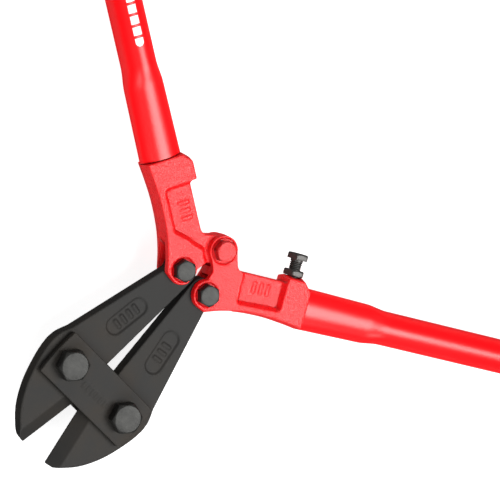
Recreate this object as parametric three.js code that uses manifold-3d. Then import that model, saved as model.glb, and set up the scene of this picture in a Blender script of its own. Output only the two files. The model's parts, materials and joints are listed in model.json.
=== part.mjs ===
// Bolt cutters of the 900 mm (36 inch) class, lying flat with the handles spread wide open.
// Millimetres. The pivots stand along +Z, the jaws point to -Y and the handles spread to +Y.
// The plan is worked out about the centre bolt, then the whole group is set down on z = 0.
import * as THREE from 'three';
import { mergeVertices } from 'three/addons/utils/BufferGeometryUtils.js';
import Module from 'manifold-3d';

const wasm = await Module();
wasm.setup();
const { degToRad } = THREE.MathUtils;

// ---------------------------------------------------------------- driving dimensions

const GAP = 0.3;                        // left between faces and fits that touch
const ARC_STEPS = 8;                    // straight steps in a rounded corner
const ROUND_SIDES = 24;                 // sides of a bolt, bore or washer
const PAST = 4;                         // cutting tools run this far past a face

// Linkage: tie bolt to jaw bolt to centre bolt, the same on both sides.
const TIE_SPACING = 74.6;               // between the two tie bolts
const JAW_ARM = 137.4;                  // tie bolt to jaw bolt
const LINK = 44;                        // jaw bolt to centre bolt
const LINK_SET = degToRad(83.3);        // link to the handle's own line, at the centre bolt
const OPEN_HALF = degToRad(60.1);       // handle to the tool's axis, wide open

// Jaws
const JAW_THICK = 15;
const EDGE_CLEAR = 0.25;                // cutting edge to the tool's axis, shut
const NOSE_REACH = 74.6;                // tie bolt to the tip, along the edge
const NOSE_WIDTH = 8.5;                 // flat end of the tip
const EDGE_LAND = 0.8;                  // blunt width of the cutting edge
const BEVEL_WIDTH = 13;
const BEVEL_END = 5;                    // the bevel stops this far before the tie bolt
const TAIL_ROUND = 13;                  // half width of the tail round its bolt
const LABEL_LENGTH = 45;
const LABEL_WIDTH = 17.5;
const LABEL_DEPTH = 1.2;
const LABEL_AT = 69.5;                  // tie bolt to the middle of the label recess

// Tie plates
const PLATE_THICK = 6.3;
const PLATE_END = 18.2;                 // beyond each tie bolt
const PLATE_HALF_WIDTH = 23.8;
const PLATE_CROWN = 1.2;                // how far the short ends bow out

// Yokes (the forged handle ends)
const YOKE_THICK = 27.6;
const YOKE_DRAFT = 3;                   // face to parting line, round the rib and ear
const EYE_DRAFT = 0.6;                  // and round the eye and web
const EYE_RADIUS = 14.3;                // on the face, round the centre bolt
const EAR_RADIUS = 13.5;                // on the face, round the jaw bolt
const FORK_MARGIN = 5;                  // jaw tail's half width to the root of the fork
const FORK_REACH = 31.3;                // where the fork opens on the rib's side
const POCKET_DEPTH = 6.3;
const POCKET_SLOPE = 3.6;               // pocket wall, rim to floor
const RECESS_RADIUS = 21.6;             // left yoke's recess round the right yoke's eye, on the face
const SLOT_MARGIN = 4;                  // left yoke's eye to the root of the right yoke's slot
const TRIM_FROM_EAR = 12.2;             // flat on one ear, from the jaw bolt
const WEB_INNER = -15.8;                // inner edge of the web, across the handle's line
const RIB_OUTER = -50.2;                // outer edge of the rib
const POCKET_RIM = -45;                 // outer rim of the pocket
const BOSS_START = 74.3;                // along the handle
const BOSS_END = 91.4;
const BOSS_RIM = -10.5;                 // boss on the face
const BOSS_TOP = -8.2;                  // flat for the stop bolt's nut
const YOKE_END = 100;
const TANG_LENGTH = 45;
const SPOT_DEPTH = 1.5;
const EAR_SPOT_RADIUS = 11.8;
const EYE_SPOT_RADIUS = 13;

// Handle tubes and grips
const TUBE_RADIUS = 16.65;
const TUBE_WALL = 2.5;
const TUBE_AXIS = -36.5;                // across the handle's line
const MOUTH_HALF = 20.3;                // half width of the flattened tube at the yoke
const THROAT_HALF = 19.2;               // and where the flattened stretch ends
const THROAT_END = 168;
const ROUND_START = 192;
const TUBE_END = 684;
const GRIP_START = 512;
const GRIP_WALL = 3.2;
const GRIP_CAP = 5.5;
const GRIP_FLANGE = 6;                  // flange height over the grip
const GRIP_FLANGE_WIDTH = 7;

// Fasteners: hexagon bolts, spring washers and nuts
const TIE_BOLT = { radius: 9, flats: 27, head: 11.1, nut: 14, washer: 14.4, washerThick: 3.7 };
const JAW_BOLT = { radius: 6, flats: 19, head: 8, nut: 10, washer: 10.4, washerThick: 2.6 };
const BOLT_PROUD = 2;                   // bolt end beyond its nut
const HEAD_TURN = { tie: 16.7, jaw: -13.3, centre: 4 };
const STOP_AT = 83;                     // along the handle
const STOP_HEAD_TOP = 14;               // across it
const STOP_HEAD = 5.7;
const STOP_NUT = 5.8;
const STOP_SHANK = 35;
const STOP_TRAVEL = 9;                  // how far the stop bolt may be screwed in

// ---------------------------------------------------------------- worked-out sizes

const HALF_TIE = TIE_SPACING / 2;
const HALF_JAW = JAW_THICK / 2;
const HALF_YOKE = YOKE_THICK / 2;
const FORK_HALF = HALF_JAW + GAP;
const STOP_CORNER = JAW_BOLT.flats / Math.sqrt(3);
// Handle to the tool's axis with the stop bolt's head against the far boss.
const CLOSED_HALF = Math.atan((STOP_HEAD_TOP + BOSS_TOP + GAP) / (2 * (STOP_AT - STOP_CORNER)));
const PLATE_BACK = HALF_JAW + GAP;
const PLATE_FRONT = PLATE_BACK + PLATE_THICK;
const SPOT_FACE = HALF_YOKE - SPOT_DEPTH;

// How the jaw stands when its jaw bolt is pulled out to x = reach.
const jawLean = (reach) => Math.asin((HALF_TIE - reach) / JAW_ARM);
const linkReach = (half) => LINK * Math.sin(LINK_SET - half);
const OPEN_LEAN = jawLean(linkReach(OPEN_HALF));
const CLOSED_LEAN = jawLean(linkReach(CLOSED_HALF));
const JAW_SWING = OPEN_LEAN - CLOSED_LEAN;
const BOLT_LINE = -(LINK * Math.cos(LINK_SET - OPEN_HALF) + JAW_ARM * Math.cos(OPEN_LEAN));

// The tie bolt's play in the left jaw: the jaws are geared to the handles in a fixed ratio,
// so half way the bolt centres would stand this much nearer together than the plates.
function tiePlay(share) {
  const half = OPEN_HALF + (CLOSED_HALF - OPEN_HALF) * share;
  const lean = OPEN_LEAN - JAW_SWING * share;
  return 2 * (linkReach(half) + JAW_ARM * Math.sin(lean) - HALF_TIE);
}
const TIE_SLOT = Math.max(...[0.3, 0.4, 0.5, 0.6].map(tiePlay)) + GAP;

// Places in a handle's own frame: x along the handle, y across it towards the inside.
const EAR_AT = new THREE.Vector2(-LINK * Math.cos(LINK_SET), -LINK * Math.sin(LINK_SET));
// Places in a jaw's own frame: the tie bolt at the origin, -y along the cutting edge.
const TAIL_AT = new THREE.Vector2(-JAW_ARM * Math.sin(CLOSED_LEAN), JAW_ARM * Math.cos(CLOSED_LEAN));
const EDGE_X = EDGE_CLEAR - HALF_TIE;

// ---------------------------------------------------------------- shape helpers

// A closed outline through [x, y, corner radius] points.
function rounded(points) {
  const shape = new THREE.Shape();
  const count = points.length;
  points.forEach(([x, y, radius = 0], i) => {
    const here = new THREE.Vector2(x, y);
    const back = new THREE.Vector2(...points[(i + count - 1) % count].slice(0, 2)).sub(here);
    const ahead = new THREE.Vector2(...points[(i + 1) % count].slice(0, 2)).sub(here);
    const reach = Math.min(back.length(), ahead.length()) * 0.49;
    back.normalize();
    ahead.normalize();
    const half = Math.acos(THREE.MathUtils.clamp(back.dot(ahead), -1, 1)) / 2;
    const cut = Math.min(radius / Math.tan(half), reach);
    const put = i === 0 ? 'moveTo' : 'lineTo';
    if (cut < 1e-3 || half > Math.PI / 2 - 1e-3) {
      shape[put](x, y);
      return;
    }
    const middle = back.clone().add(ahead).normalize().multiplyScalar(cut / Math.cos(half)).add(here);
    const start = back.multiplyScalar(cut).add(here);
    const end = ahead.multiplyScalar(cut).add(here);
    const from = start.clone().sub(middle).angle();
    let turn = end.clone().sub(middle).angle() - from;
    if (turn > Math.PI) turn -= 2 * Math.PI;
    if (turn < -Math.PI) turn += 2 * Math.PI;
    for (let k = 0; k <= ARC_STEPS; k += 1) {
      const angle = from + (turn * k) / ARC_STEPS;
      const px = middle.x + Math.cos(angle) * cut * Math.tan(half);
      const py = middle.y + Math.sin(angle) * cut * Math.tan(half);
      if (k === 0) shape[put](px, py);
      else shape.lineTo(px, py);
    }
  });
  return shape;
}

// Points on an arc, in degrees, for use inside a list of outline points.
function arcPoints(centre, radius, fromDeg, toDeg, steps = ARC_STEPS) {
  return Array.from({ length: steps + 1 }, (_, k) => {
    const angle = degToRad(fromDeg + ((toDeg - fromDeg) * k) / steps);
    return [centre.x + radius * Math.cos(angle), centre.y + radius * Math.sin(angle)];
  });
}

// A straight-sided plate of an outline between two heights.
function slab(shape, low, high) {
  const geometry = new THREE.ExtrudeGeometry(shape, { depth: high - low, bevelEnabled: false });
  return geometry.translate(0, 0, low);
}

// A block whose outline is the given one on both faces and grows by draft at half height.
function forged(shape, half, draft) {
  const core = 0.4;
  const geometry = new THREE.ExtrudeGeometry(shape, {
    depth: core,
    bevelEnabled: true,
    bevelThickness: half - core / 2,
    bevelSize: draft,
    bevelSegments: 1,
  });
  return geometry.translate(0, 0, -core / 2);
}

// A cutter that enters from above: the outline at the rim, smaller by slope at the floor.
// Side -1 gives the same tool entering from below.
function pocketCutter(shape, rim, floor, slope, side = 1) {
  const geometry = new THREE.ExtrudeGeometry(shape, {
    depth: PAST,
    bevelEnabled: true,
    bevelThickness: rim - floor,
    bevelSize: slope,
    bevelOffset: -slope,
    bevelSegments: 1,
  });
  return geometry.translate(0, 0, side > 0 ? rim : -rim - PAST);
}

function rod(radius, low, high, sides = ROUND_SIDES) {
  const geometry = new THREE.CylinderGeometry(radius, radius, high - low, sides);
  return geometry.rotateX(Math.PI / 2).translate(0, 0, (low + high) / 2);
}

function block(x0, x1, y0, y1, z0, z1) {
  const geometry = new THREE.BoxGeometry(x1 - x0, y1 - y0, z1 - z0);
  return geometry.translate((x0 + x1) / 2, (y0 + y1) / 2, (z0 + z1) / 2);
}

function solid(geometry) {
  const bare = geometry.clone();
  bare.deleteAttribute('normal');
  bare.deleteAttribute('uv');
  const joined = mergeVertices(bare, 1e-4);
  const triVerts = Uint32Array.from(joined.index.array);
  const vertProperties = Float32Array.from(joined.attributes.position.array);
  return new wasm.Manifold(new wasm.Mesh({ numProp: 3, vertProperties, triVerts }));
}

// A solid turned about +Z from [radius, height] points that start and end on the axis.
function turned(points, sides = ROUND_SIDES) {
  const profile = points.map(([radius, height]) => new THREE.Vector2(radius, height));
  return new THREE.LatheGeometry(profile, sides).rotateX(Math.PI / 2);
}

function shell(body) {
  const made = body.getMesh();
  const geometry = new THREE.BufferGeometry();
  geometry.setAttribute('position', new THREE.BufferAttribute(made.vertProperties, 3));
  geometry.setIndex(new THREE.BufferAttribute(made.triVerts, 1));
  geometry.computeVertexNormals();
  return geometry;
}

const cut = (body, ...tools) => tools.reduce((left, tool) => left.subtract(solid(tool)), body);

// ---------------------------------------------------------------- finishes

const finish = (color, roughness, metalness) =>
  new THREE.MeshStandardMaterial({ color, roughness, metalness });
const forgedPaint = finish(0xd8252a, 0.5, 0.1);
const tubePaint = finish(0xd0141a, 0.28, 0.1);
const darkSteel = finish(0x3c3b3a, 0.55, 0.7);
const boltSteel = finish(0x4b4d4e, 0.5, 0.8);
const blackSteel = finish(0x232323, 0.5, 0.7);
const gripRubber = finish(0x1b1b1c, 0.7, 0);

function piece(name, geometry, material) {
  const mesh = new THREE.Mesh(geometry, material);
  mesh.name = name;
  return mesh;
}

// ---------------------------------------------------------------- jaws

// The nose sweeps from the tip round to the shoulder in one curve.
function noseCurve() {
  return new THREE.SplineCurve([
    new THREE.Vector2(EDGE_X + NOSE_WIDTH, -NOSE_REACH),
    new THREE.Vector2(-8, -61),
    new THREE.Vector2(8, -43),
    new THREE.Vector2(19.5, -22.8),
    new THREE.Vector2(26.3, -6),
    new THREE.Vector2(28.2, 7.5),
    new THREE.Vector2(25.3, 21.2),
  ]).getPoints(30).map((p) => [p.x, p.y]);
}

function jawOutline() {
  const tail = TAIL_AT;
  return rounded([
    [EDGE_X, -NOSE_REACH],
    ...noseCurve(),
    [tail.x + 9.2, tail.y - 9.3, 6],
    [tail.x + TAIL_ROUND, tail.y - 3.5, 4],
    [tail.x + TAIL_ROUND, tail.y + TAIL_ROUND, TAIL_ROUND - 1],
    [tail.x - TAIL_ROUND - 2, tail.y + TAIL_ROUND, TAIL_ROUND],
    [-24.5, 31, 10],
    [-25, 9, 6],
    [-30, 3, 4],
    [EDGE_X, -3],
  ]);
}

// The wedge ground away on one face, so that both faces meet at the cutting edge.
function bevelCutter(side) {
  const land = EDGE_LAND / 2;
  const top = side * (HALF_JAW + PAST);
  const rise = (HALF_JAW - land) / BEVEL_WIDTH;
  const section = new THREE.Shape([
    new THREE.Vector2(EDGE_X - PAST, side * (land - rise * PAST)),
    new THREE.Vector2(EDGE_X + BEVEL_WIDTH, side * HALF_JAW),
    new THREE.Vector2(EDGE_X + BEVEL_WIDTH, top),
    new THREE.Vector2(EDGE_X - PAST, top),
  ]);
  const length = NOSE_REACH + PAST - BEVEL_END;
  const tool = new THREE.ExtrudeGeometry(section, { depth: length, bevelEnabled: false });
  return tool.rotateX(Math.PI / 2).translate(0, -BEVEL_END, 0);
}

// An oval with round ends, its straight run from the origin to x = -run.
function oval(run, radius) {
  return rounded([
    [-run - radius, -radius, radius],
    [radius, -radius, radius],
    [radius, radius, radius],
    [-run - radius, radius, radius],
  ]);
}

// The recessed label oval, raised along the middle of the tail.
function labelCutter(side) {
  const run = LABEL_LENGTH - LABEL_WIDTH;
  const low = side > 0 ? HALF_JAW - LABEL_DEPTH : -HALF_JAW - PAST;
  const tool = slab(oval(run, LABEL_WIDTH / 2), low, low + LABEL_DEPTH + PAST);
  return tool.translate(run / 2, 0, 0).rotateZ(Math.PI / 2 - degToRad(1.4)).translate(1.5, LABEL_AT, 0);
}

// Only the left jaw's tie bolt hole is drawn out, towards its cutting edge.
function jaw(slotted) {
  const bore = TIE_BOLT.radius + GAP;
  const hole = slotted
    ? slab(oval(TIE_SLOT, bore + GAP), -JAW_THICK, JAW_THICK).rotateZ(-JAW_SWING / 2)
    : rod(bore, -JAW_THICK, JAW_THICK);
  const tailHole = rod(JAW_BOLT.radius + GAP, -JAW_THICK, JAW_THICK).translate(TAIL_AT.x, TAIL_AT.y, 0);
  const blank = solid(slab(jawOutline(), -HALF_JAW, HALF_JAW));
  return shell(cut(
    blank, hole, tailHole, bevelCutter(1), bevelCutter(-1), labelCutter(1), labelCutter(-1),
  ));
}

// ---------------------------------------------------------------- tie plates

function tiePlate(low) {
  const end = HALF_TIE + PLATE_END;
  const bow = (side) => [-1, -0.5, 0, 0.5, 1].map((k) => [
    side * (end + PLATE_CROWN * (1 - k * k)),
    side * k * PLATE_HALF_WIDTH,
    Math.abs(k) === 1 ? 1.5 : 0,
  ]);
  const blank = solid(slab(rounded([...bow(1), ...bow(-1)]), low, low + PLATE_THICK));
  const bores = [-HALF_TIE, HALF_TIE].map((x) =>
    rod(TIE_BOLT.radius + GAP, low - PAST, low + PLATE_THICK + PAST).translate(x, 0, 0));
  return shell(cut(blank, ...bores));
}

// ---------------------------------------------------------------- yokes

// The end block, boss, rib and ear: a face outline that is given the forging's full draft.
function ribOutline() {
  const past = YOKE_END + PAST;
  const rib = new THREE.SplineCurve([
    new THREE.Vector2(EAR_AT.x + 3, EAR_AT.y - EAR_RADIUS - 2.3),
    new THREE.Vector2(15, RIB_OUTER - 4.3),
    new THREE.Vector2(36, RIB_OUTER - 0.8),
    new THREE.Vector2(62, RIB_OUTER),
    new THREE.Vector2(86, RIB_OUTER - 2),
    new THREE.Vector2(past, RIB_OUTER - 4.4),
  ]).getPoints(20).map((p) => [p.x, p.y]);
  return rounded([
    [past, TUBE_AXIS + 17],
    [YOKE_END - 1.4, TUBE_AXIS + 18.5, 3],
    [BOSS_END, BOSS_RIM, 1.5],
    [BOSS_START, BOSS_RIM, 1],
    [BOSS_START, WEB_INNER - 6],
    [12, WEB_INNER - 6],
    ...arcPoints(EAR_AT, EAR_RADIUS, 95, 245, 14),
    ...rib,
  ]);
}

// The web and the eye: nearly straight walls, because the eyes turn beside each other.
function eyeOutline() {
  return rounded([
    [BOSS_START + 4, WEB_INNER],
    [EYE_RADIUS + 5.3, WEB_INNER, 9],
    ...arcPoints(new THREE.Vector2(0, 0), EYE_RADIUS, 4, 225, 16),
    [-5.4, -20.5, 6],
    [EAR_AT.x - 3.8, EAR_AT.y + EAR_RADIUS - 0.6],
    [EAR_AT.x + 4, EAR_AT.y + 4],
    [BOSS_START + 4, EAR_AT.y + 4],
  ]);
}

// Room between the ears for the jaw's tail, from shut to wide open.
function forkCutter() {
  const root = TAIL_ROUND + FORK_MARGIN;
  const outside = RIB_OUTER - 30;
  return slab(rounded([
    [-70, EAR_AT.y + root],
    ...arcPoints(EAR_AT, root, 90, 0),
    [FORK_REACH, RIB_OUTER - 5],
    [FORK_REACH, outside],
    [-70, outside],
  ]), -FORK_HALF, FORK_HALF);
}

// The right yoke's pocket, closed towards the eye. Side -1 is the one behind.
function closedPocket(side) {
  return pocketCutter(rounded([
    [25, 30],
    [26.6, POCKET_RIM - 1, 4],
    [BOSS_START - 0.2, POCKET_RIM + 0.8, 5],
    [BOSS_START - 0.2, 30],
  ]), HALF_YOKE, HALF_YOKE - POCKET_DEPTH, POCKET_SLOPE, side);
}

// The left yoke's pocket runs on past the eye, where the right yoke's eye turns over it,
// and its floor is the face of the tongue that fits the right yoke's slot.
function openPocket(side) {
  return pocketCutter(rounded([
    [-40, 40],
    [-40, -RECESS_RADIUS],
    ...arcPoints(new THREE.Vector2(0, 0), RECESS_RADIUS, 255, 288, 5),
    [12.8, -26.5],
    [20.4, -32.6],
    [31, POCKET_RIM + 0.6, 4.5],
    [BOSS_START - 0.2, POCKET_RIM + 0.8, 5],
    [BOSS_START - 0.2, 40],
  ]), HALF_YOKE, FORK_HALF - GAP, POCKET_SLOPE, side);
}

// A flat on the left yoke's ears, in line with the tool's axis when the handles are open.
function earTrim(side) {
  const [low, high] = [FORK_HALF, HALF_YOKE + PAST].map((z) => z * side).sort((p, q) => p - q);
  const tool = block(-45, 22, TRIM_FROM_EAR, TRIM_FROM_EAR + 30, low, high);
  return tool.rotateZ(OPEN_HALF).translate(EAR_AT.x, EAR_AT.y, 0);
}

function tang() {
  const length = TANG_LENGTH + 2;
  const bar = new THREE.CylinderGeometry(1, 1, length, ROUND_SIDES).rotateZ(Math.PI / 2);
  bar.scale(1, MOUTH_HALF - TUBE_WALL - 1.5, TUBE_RADIUS * Math.SQRT1_2 - TUBE_WALL - 0.7);
  return bar.translate(YOKE_END - 2 + length / 2, TUBE_AXIS, 0);
}

// The left yoke's eye is a tongue, and the right yoke's eye is a fork round it.
function yoke(isLeft) {
  const bore = JAW_BOLT.radius + GAP;
  const over = HALF_YOKE + PAST;
  const flats = [
    block(YOKE_END, YOKE_END + 30, -90, 20, -over, over),
    block(BOSS_START - 5, YOKE_END, BOSS_TOP, 20, -over, over),
  ];
  const slot = rod(EYE_RADIUS + EYE_DRAFT + SLOT_MARGIN, -FORK_HALF, FORK_HALF);
  const own = isLeft
    ? [openPocket(1), openPocket(-1), earTrim(1), earTrim(-1)]
    : [closedPocket(1), closedPocket(-1), slot];
  const holes = [
    rod(bore, -over, over),
    rod(bore, -over, over).translate(EAR_AT.x, EAR_AT.y, 0),
    rod(EAR_SPOT_RADIUS, SPOT_FACE, over).translate(EAR_AT.x, EAR_AT.y, 0),
    rod(EAR_SPOT_RADIUS, -over, -SPOT_FACE).translate(EAR_AT.x, EAR_AT.y, 0),
  ];
  if (!isLeft) {
    const low = STOP_HEAD_TOP - STOP_HEAD - STOP_SHANK - STOP_TRAVEL - 2;
    holes.push(
      rod(EYE_SPOT_RADIUS, SPOT_FACE, over),
      rod(EYE_SPOT_RADIUS, -over, -SPOT_FACE),
      rod(bore, low, 5).rotateX(-Math.PI / 2).translate(STOP_AT, 0, 0),
    );
  }
  const blank = solid(forged(ribOutline(), HALF_YOKE, YOKE_DRAFT))
    .add(solid(forged(eyeOutline(), HALF_YOKE, EYE_DRAFT)));
  const body = cut(blank, forkCutter(), ...own, ...flats).add(solid(tang()));
  return shell(cut(body, ...holes));
}

// ---------------------------------------------------------------- tubes and grips

// Half width of the tube across the handle: flattened at the yoke, round further out.
function tubeHalf(along) {
  if (along <= THROAT_END) {
    return THREE.MathUtils.mapLinear(along, YOKE_END, THROAT_END, MOUTH_HALF, THROAT_HALF);
  }
  const share = THREE.MathUtils.smoothstep(along, THROAT_END, ROUND_START);
  return THREE.MathUtils.lerp(THROAT_HALF, TUBE_RADIUS, share);
}

// An open tube: outer and inner rings of points, joined by walls and by a rim at each end.
function handleTube() {
  const sides = ROUND_SIDES;
  const blend = [1, 2, 3].map((k) => THREE.MathUtils.lerp(THROAT_END, ROUND_START, k / 4));
  const stations = [YOKE_END + GAP, THROAT_END, ...blend, ROUND_START, TUBE_END];
  const points = [];
  for (const wall of [0, TUBE_WALL]) {
    for (const along of stations) {
      const wide = tubeHalf(along);
      // Flattening keeps the round tube's girth, near enough.
      const thick = Math.sqrt(2 * TUBE_RADIUS ** 2 - wide ** 2);
      for (let k = 0; k < sides; k += 1) {
        const angle = (2 * Math.PI * k) / sides;
        const across = TUBE_AXIS + (wide - wall) * Math.cos(angle);
        points.push(along, across, (thick - wall) * Math.sin(angle));
      }
    }
  }
  const rings = stations.length;
  const at = (skin, ring, k) => (skin * rings + ring) * sides + (k % sides);
  const faces = [];
  const quad = (a, b, c, d) => faces.push(a, b, c, a, c, d);
  for (let k = 0; k < sides; k += 1) {
    for (let ring = 0; ring + 1 < rings; ring += 1) {
      quad(at(0, ring, k), at(0, ring, k + 1), at(0, ring + 1, k + 1), at(0, ring + 1, k));
      quad(at(1, ring, k), at(1, ring + 1, k), at(1, ring + 1, k + 1), at(1, ring, k + 1));
    }
    quad(at(0, 0, k), at(1, 0, k), at(1, 0, k + 1), at(0, 0, k + 1));
    quad(at(0, rings - 1, k), at(0, rings - 1, k + 1), at(1, rings - 1, k + 1), at(1, rings - 1, k));
  }
  const geometry = new THREE.BufferGeometry();
  geometry.setAttribute('position', new THREE.Float32BufferAttribute(points, 3));
  geometry.setIndex(faces);
  geometry.computeVertexNormals();
  return geometry;
}

// A cup pulled over the tube's end, with a flange in front of the hand.
function grip() {
  const inner = TUBE_RADIUS + GAP;
  const outer = inner + GRIP_WALL;
  const floor = TUBE_END + GAP;
  const end = floor + GRIP_CAP;
  const cup = turned([
    [0, floor],
    [inner, floor],
    [inner, GRIP_START],
    [outer + GRIP_FLANGE - 1.5, GRIP_START],
    [outer + GRIP_FLANGE, GRIP_START + 1.5],
    [outer + GRIP_FLANGE, GRIP_START + GRIP_FLANGE_WIDTH - 1.5],
    [outer, GRIP_START + GRIP_FLANGE_WIDTH + 2],
    [outer, end - 3],
    [outer - 3, end],
    [0, end],
  ]);
  return cup.rotateY(Math.PI / 2).translate(0, TUBE_AXIS, 0);
}

// ---------------------------------------------------------------- fasteners

// A hexagon prism whose corners are turned off at the top, and at the foot for a nut.
function hexagon(spec, low, high, bothEnds) {
  const corner = spec.flats / Math.sqrt(3);
  const rim = spec.flats * 0.475;
  const drop = (corner - rim) * 0.45;
  const cone = turned([
    [0, low],
    [bothEnds ? rim : corner + 1, low],
    [corner + 1, low + (bothEnds ? drop * 1.5 : 0.01)],
    [corner + 1, high - drop * 1.5],
    [rim, high],
    [0, high],
  ]);
  return solid(rod(corner, low, high, 6)).intersect(solid(cone));
}

// A bolt with its head standing on height zero and its shank hanging below.
function bolt(spec, shank, head = spec.head) {
  const { radius } = spec;
  const stem = turned([[0, -shank], [radius - 1, -shank], [radius, 1 - shank], [radius, 0.5], [0, 0.5]]);
  return shell(hexagon(spec, 0, head, false).add(solid(stem)));
}

function nut(spec, thick = spec.nut) {
  return shell(cut(hexagon(spec, 0, thick, true), rod(spec.radius + GAP, -1, thick + 1)));
}

// A spring washer: a ring with one cut through it.
function springWasher(spec) {
  const inner = spec.radius + GAP;
  const cutHalf = degToRad(7);
  const shape = new THREE.Shape();
  shape.absarc(0, 0, spec.washer, cutHalf, 2 * Math.PI - cutHalf, false);
  shape.absarc(0, 0, inner, 2 * Math.PI - cutHalf, cutHalf, true);
  const depth = spec.washerThick;
  return new THREE.ExtrudeGeometry(shape, { depth, bevelEnabled: false, curveSegments: 12 });
}

// Bolt from the front, washer and nut behind, through everything between two faces.
function fastener(group, name, spec, x, y, front, back, turn, material) {
  const washerFace = back - GAP - spec.washerThick;
  const nutFace = washerFace - GAP - spec.nut;
  const top = front + GAP;
  const boltMesh = piece(`${name}_bolt`, bolt(spec, top - nutFace + BOLT_PROUD), material);
  boltMesh.position.set(x, y, top);
  const washerMesh = piece(`${name}_washer`, springWasher(spec), boltSteel);
  washerMesh.position.set(x, y, washerFace);
  const nutMesh = piece(`${name}_nut`, nut(spec), material);
  nutMesh.position.set(x, y, nutFace);
  for (const mesh of [boltMesh, washerMesh, nutMesh]) mesh.rotation.z = degToRad(turn);
  group.add(boltMesh, washerMesh, nutMesh);
}

// ---------------------------------------------------------------- assembly

const cutters = new THREE.Group();

// Either side's own frame. The left side is the right one turned over about the tool's axis.
function side(isLeft) {
  const group = new THREE.Group();
  if (isLeft) group.rotation.y = Math.PI;
  cutters.add(group);
  return group;
}

for (const isLeft of [true, false]) {
  const name = isLeft ? 'left' : 'right';
  const sign = isLeft ? -1 : 1;
  const half = side(isLeft);

  const handle = new THREE.Group();
  handle.rotation.z = Math.PI / 2 - OPEN_HALF;
  handle.add(
    piece(`${name}_yoke`, yoke(isLeft), forgedPaint),
    piece(`${name}_tube`, handleTube(), tubePaint),
    piece(`${name}_grip`, grip(), gripRubber),
  );
  half.add(handle);

  const jawMesh = piece(`${name}_jaw`, jaw(isLeft), darkSteel);
  jawMesh.position.set(HALF_TIE, BOLT_LINE, 0);
  jawMesh.rotation.z = JAW_SWING;
  half.add(jawMesh);

  const jawBoltX = sign * linkReach(OPEN_HALF);
  const jawBoltY = -LINK * Math.cos(LINK_SET - OPEN_HALF);
  fastener(cutters, `${name}_jaw`, JAW_BOLT, jawBoltX, jawBoltY,
    SPOT_FACE, -SPOT_FACE, HEAD_TURN.jaw, boltSteel);
  fastener(cutters, `${name}_tie`, TIE_BOLT, sign * HALF_TIE, BOLT_LINE,
    PLATE_FRONT, -PLATE_FRONT, HEAD_TURN.tie, boltSteel);

  if (!isLeft) {
    const stop = piece('stop_bolt', bolt(JAW_BOLT, STOP_SHANK, STOP_HEAD), blackSteel);
    stop.rotation.x = -Math.PI / 2;
    stop.position.set(STOP_AT, STOP_HEAD_TOP - STOP_HEAD, 0);
    const stopNut = piece('stop_nut', nut(JAW_BOLT, STOP_NUT), blackSteel);
    stopNut.rotation.x = -Math.PI / 2;
    stopNut.position.set(STOP_AT, BOSS_TOP + GAP, 0);
    handle.add(stop, stopNut);
  }
}

fastener(cutters, 'centre', JAW_BOLT, 0, 0, SPOT_FACE, -SPOT_FACE, HEAD_TURN.centre, forgedPaint);

for (const [name, low] of [['front_tie_plate', PLATE_BACK], ['rear_tie_plate', -PLATE_FRONT]]) {
  const plate = piece(name, tiePlate(low), darkSteel);
  plate.position.set(0, BOLT_LINE, 0);
  cutters.add(plate);
}

// Set down on z = 0 with the middle of its box at the origin.
const tool = new THREE.Group();
tool.add(cutters);
tool.updateMatrixWorld(true);
const box = new THREE.Box3().setFromObject(tool, true);
cutters.position.set(-(box.min.x + box.max.x) / 2, -(box.min.y + box.max.y) / 2, -box.min.z);
tool.updateMatrixWorld(true);

export default tool;
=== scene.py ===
"""Bolt cutters of the 900 mm class, lying flat with the handles spread wide.

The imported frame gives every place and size. The forgings are softened copies of its nodes,
and the tubes, grips and fasteners are made new in the space that its nodes hold.
"""

import json
from math import cos, exp, pi, radians, sin, sqrt, tan

import bmesh
import bpy
from bpy.props import FloatProperty, FloatVectorProperty, IntProperty, PointerProperty
from mathutils import Matrix, Vector

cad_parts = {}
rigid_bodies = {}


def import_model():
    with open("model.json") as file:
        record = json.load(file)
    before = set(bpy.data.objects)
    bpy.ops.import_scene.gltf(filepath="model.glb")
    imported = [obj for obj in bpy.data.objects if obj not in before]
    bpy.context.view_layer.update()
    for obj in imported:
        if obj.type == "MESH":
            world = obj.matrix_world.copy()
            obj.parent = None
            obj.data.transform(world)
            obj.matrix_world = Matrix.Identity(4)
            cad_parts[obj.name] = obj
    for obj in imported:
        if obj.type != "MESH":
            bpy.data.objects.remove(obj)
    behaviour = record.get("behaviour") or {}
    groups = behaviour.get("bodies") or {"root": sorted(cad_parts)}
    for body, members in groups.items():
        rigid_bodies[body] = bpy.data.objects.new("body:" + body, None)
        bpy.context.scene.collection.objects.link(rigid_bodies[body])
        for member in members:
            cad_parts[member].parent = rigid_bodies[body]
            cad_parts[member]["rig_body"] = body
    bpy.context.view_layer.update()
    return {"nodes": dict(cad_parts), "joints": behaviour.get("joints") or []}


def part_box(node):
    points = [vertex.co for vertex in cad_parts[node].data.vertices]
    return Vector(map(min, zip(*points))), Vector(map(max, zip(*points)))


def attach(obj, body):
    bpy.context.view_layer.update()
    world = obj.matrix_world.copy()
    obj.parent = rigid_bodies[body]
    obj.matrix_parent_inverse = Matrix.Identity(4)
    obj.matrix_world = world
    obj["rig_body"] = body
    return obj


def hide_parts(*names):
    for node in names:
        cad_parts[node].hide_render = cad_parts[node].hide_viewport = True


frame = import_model()

bl_info = {
    "name": "Bolt Cutters",
    "version": (1, 0, 0),
    "blender": (4, 5, 0),
    "location": "3D View > Sidebar > Bolt Cutters",
    "description": "Forgings, tubes, grips, fasteners and finishes for a pair of bolt cutters",
    "category": "Object",
}

MM = 0.001
SIDES = ("left", "right")
JOINTS = {joint["name"]: joint for joint in frame["joints"]}
CENTRE = Vector(JOINTS["handle_pivot"]["pos_m"])
ACROSS = Vector(JOINTS["stop_bolt_travel"]["axis"])
UP = Vector((0, 0, 1))


# ---------------------------------------------------------------- places in the frame

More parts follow.
